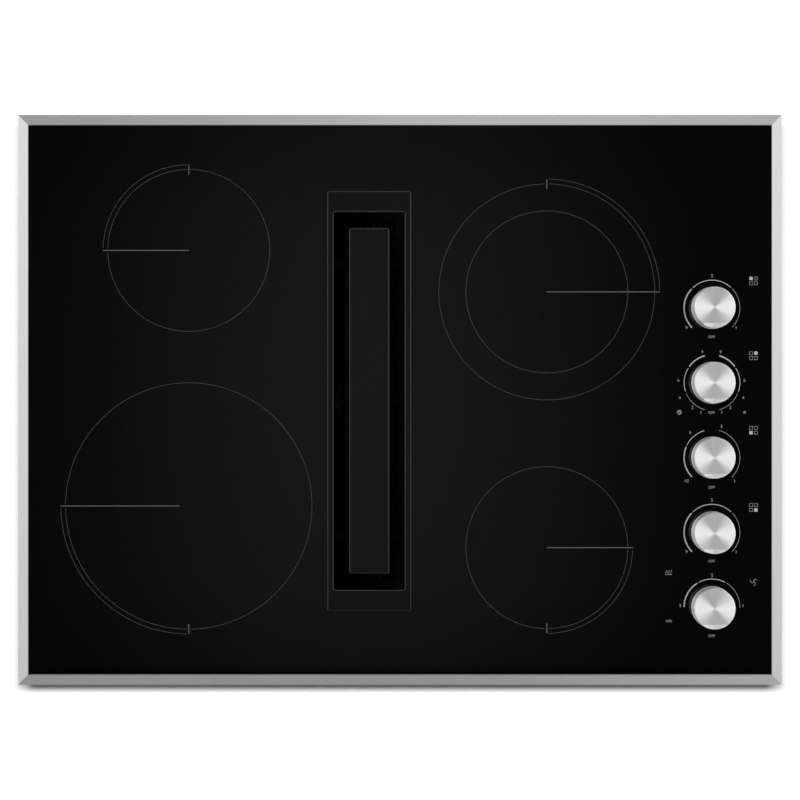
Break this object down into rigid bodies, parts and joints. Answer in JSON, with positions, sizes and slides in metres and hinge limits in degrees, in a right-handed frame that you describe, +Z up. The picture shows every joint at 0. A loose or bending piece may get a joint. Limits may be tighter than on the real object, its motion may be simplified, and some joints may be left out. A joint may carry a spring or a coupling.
{
  "type": "downdraft cooktop",
  "caption": "Drop-in electric cooktop with a black glass top in a bevelled steel trim, a row of knobs at the right and a central downdraft vent with its blower below.",
  "frame": {"origin": "centre of the countertop cutout, level with the top of the countertop", "axes": "+X to the right, +Y to the rear, +Z up"},
  "size_m": [0.784, 0.585, 0.4751],
  "materials": {
    "trim": "brushed stainless, mitred strips",
    "glass": "glossy black ceramic glass with thin grey printing",
    "grille": "black enamel",
    "knob": "spun aluminium with concentric turning marks",
    "sheet": "galvanised sheet steel",
    "steel": "zinc-plated steel",
    "foam": "closed-cell foam",
    "silicone": "black silicone",
    "insulation": "pressed fibre insulation",
    "ribbon": "oxidised resistance ribbon",
    "limiter": "glazed ceramic and quartz",
    "phenolic": "moulded phenolic",
    "nylon": "moulded nylon",
    "lamp": "clear red plastic",
    "filter": "aluminium mesh and channel",
    "wheel": "stamped aluminium",
    "motor": "black enamel over steel laminations",
    "capacitor": "black plastic case",
    "jar": "pale moulded plastic",
    "block": "white ceramic"
  },
  "bodies": {
    "base": {"trim_frame": "trim", "counter_seal": "foam", "glass_bond": "silicone", "glass_top": "glass", "burner_box": "sheet", "box_screws": "steel", "vent_gasket": "silicone", "vent_liner": "sheet", "element_dishes": "sheet", "insulation_cakes": "insulation", "limiters": "limiter", "element_rails": "sheet", "element_springs": "steel", "control_bracket": "sheet", "element_switches": "phenolic", "fan_switch": "phenolic", "indicator_lamps": "lamp", "junction_box": "sheet", "junction_cover": "sheet", "terminal_block": "block", "plenum": "sheet", "blower_inlet": "sheet", "blower_housing": "sheet", "blower_motor": "motor", "motor_capacitor": "capacitor", "duct_transition": "sheet", "damper_collar": "sheet", "clamp_brackets": "steel", "body_screws": "steel", "coil_rear_left": "ribbon", "coil_rear_right": "ribbon", "coil_front_left": "ribbon", "coil_front_right": "ribbon"},
    "fan_knob": {"knob_fan": "knob", "shaft_fan": "steel"},
    "grille": {"grille_frame": "grille", "grille_panel": "grille"},
    "filter": {"filter_frame": "filter", "filter_mesh": "filter"},
    "blower_rotor": {"blower_wheel": "wheel", "motor_shaft": "steel"},
    "damper": {"damper_flap": "steel", "damper_rod": "steel"},
    "jar_seal": {"jar_gasket": "silicone"},
    "jar": {"overflow_jar": "jar"},
    "left_clamp": {"clamp_screw_left": "steel"},
    "right_clamp": {"clamp_screw_right": "steel"},
    "rear_left_cam": {"cam_rear_left": "nylon"},
    "rear_left_knob": {"knob_rear_left": "knob", "shaft_rear_left": "steel"},
    "rear_right_cam": {"cam_rear_right": "nylon"},
    "rear_right_knob": {"knob_rear_right": "knob", "shaft_rear_right": "steel"},
    "front_left_cam": {"cam_front_left": "nylon"},
    "front_left_knob": {"knob_front_left": "knob", "shaft_front_left": "steel"},
    "front_right_cam": {"cam_front_right": "nylon"},
    "front_right_knob": {"knob_front_right": "knob", "shaft_front_right": "steel"}
  },
  "joints": [
    {"name": "rear_left_turn", "type": "hinge", "parent": "base", "child": "rear_left_cam", "pos_m": [0.3198, 0.0941, 0], "axis": [0, 0, 1], "continuous": true},
    {"name": "rear_left_push", "type": "slide", "parent": "rear_left_cam", "child": "rear_left_knob", "axis": [0, 0, -1], "range_m": [0, 0.0025], "stiffness_N_per_m": 2000, "springref_m": -0.003},
    {"name": "rear_right_turn", "type": "hinge", "parent": "base", "child": "rear_right_cam", "pos_m": [0.3198, 0.0175, 0], "axis": [0, 0, 1], "continuous": true},
    {"name": "rear_right_push", "type": "slide", "parent": "rear_right_cam", "child": "rear_right_knob", "axis": [0, 0, -1], "range_m": [0, 0.0025], "stiffness_N_per_m": 2000, "springref_m": -0.003},
    {"name": "front_left_turn", "type": "hinge", "parent": "base", "child": "front_left_cam", "pos_m": [0.3198, -0.0591, 0], "axis": [0, 0, 1], "continuous": true},
    {"name": "front_left_push", "type": "slide", "parent": "front_left_cam", "child": "front_left_knob", "axis": [0, 0, -1], "range_m": [0, 0.0025], "stiffness_N_per_m": 2000, "springref_m": -0.003},
    {"name": "front_right_turn", "type": "hinge", "parent": "base", "child": "front_right_cam", "pos_m": [0.3198, -0.1357, 0], "axis": [0, 0, 1], "continuous": true},
    {"name": "front_right_push", "type": "slide", "parent": "front_right_cam", "child": "front_right_knob", "axis": [0, 0, -1], "range_m": [0, 0.0025], "stiffness_N_per_m": 2000, "springref_m": -0.003},
    {"name": "fan_turn", "type": "hinge", "parent": "base", "child": "fan_knob", "pos_m": [0.3198, -0.2123, 0], "axis": [0, 0, -1], "range_deg": [0, 270]},
    {"name": "grille_lift", "type": "slide", "parent": "base", "child": "grille", "axis": [0, 0, 1], "range_m": [0, 0.3]},
    {"name": "filter_lift", "type": "slide", "parent": "base", "child": "filter", "axis": [0, 0, 1], "range_m": [0, 0.27]},
    {"name": "blower_spin", "type": "hinge", "parent": "base", "child": "blower_rotor", "pos_m": [0.06, -0.04, -0.185], "axis": [1, 0, 0], "continuous": true},
    {"name": "damper_swing", "type": "hinge", "parent": "base", "child": "damper", "pos_m": [0.106, 0.183, -0.257], "axis": [1, 0, 0], "range_deg": [0, 80]},
    {"name": "jar_unscrew", "type": "hinge", "parent": "base", "child": "jar_seal", "pos_m": [-0.0315, -0.0012, -0.32], "axis": [0, 0, -1], "range_deg": [0, 270]},
    {"name": "jar_drop", "type": "slide", "parent": "jar_seal", "child": "jar", "axis": [0, 0, -1], "range_m": [0, 0.009]},
    {"name": "left_clamp_screw", "type": "slide", "parent": "base", "child": "left_clamp", "axis": [0, 0, 1], "range_m": [-0.01, 0.006]},
    {"name": "right_clamp_screw", "type": "slide", "parent": "base", "child": "right_clamp", "axis": [0, 0, 1], "range_m": [-0.01, 0.006]}
  ],
  "couplings": [
    {"joint": "filter_lift", "follows": "grille_lift", "ratio": 0.9},
    {"joint": "jar_drop", "follows": "jar_unscrew", "m_per_rad": 0.0019098}
  ]
}
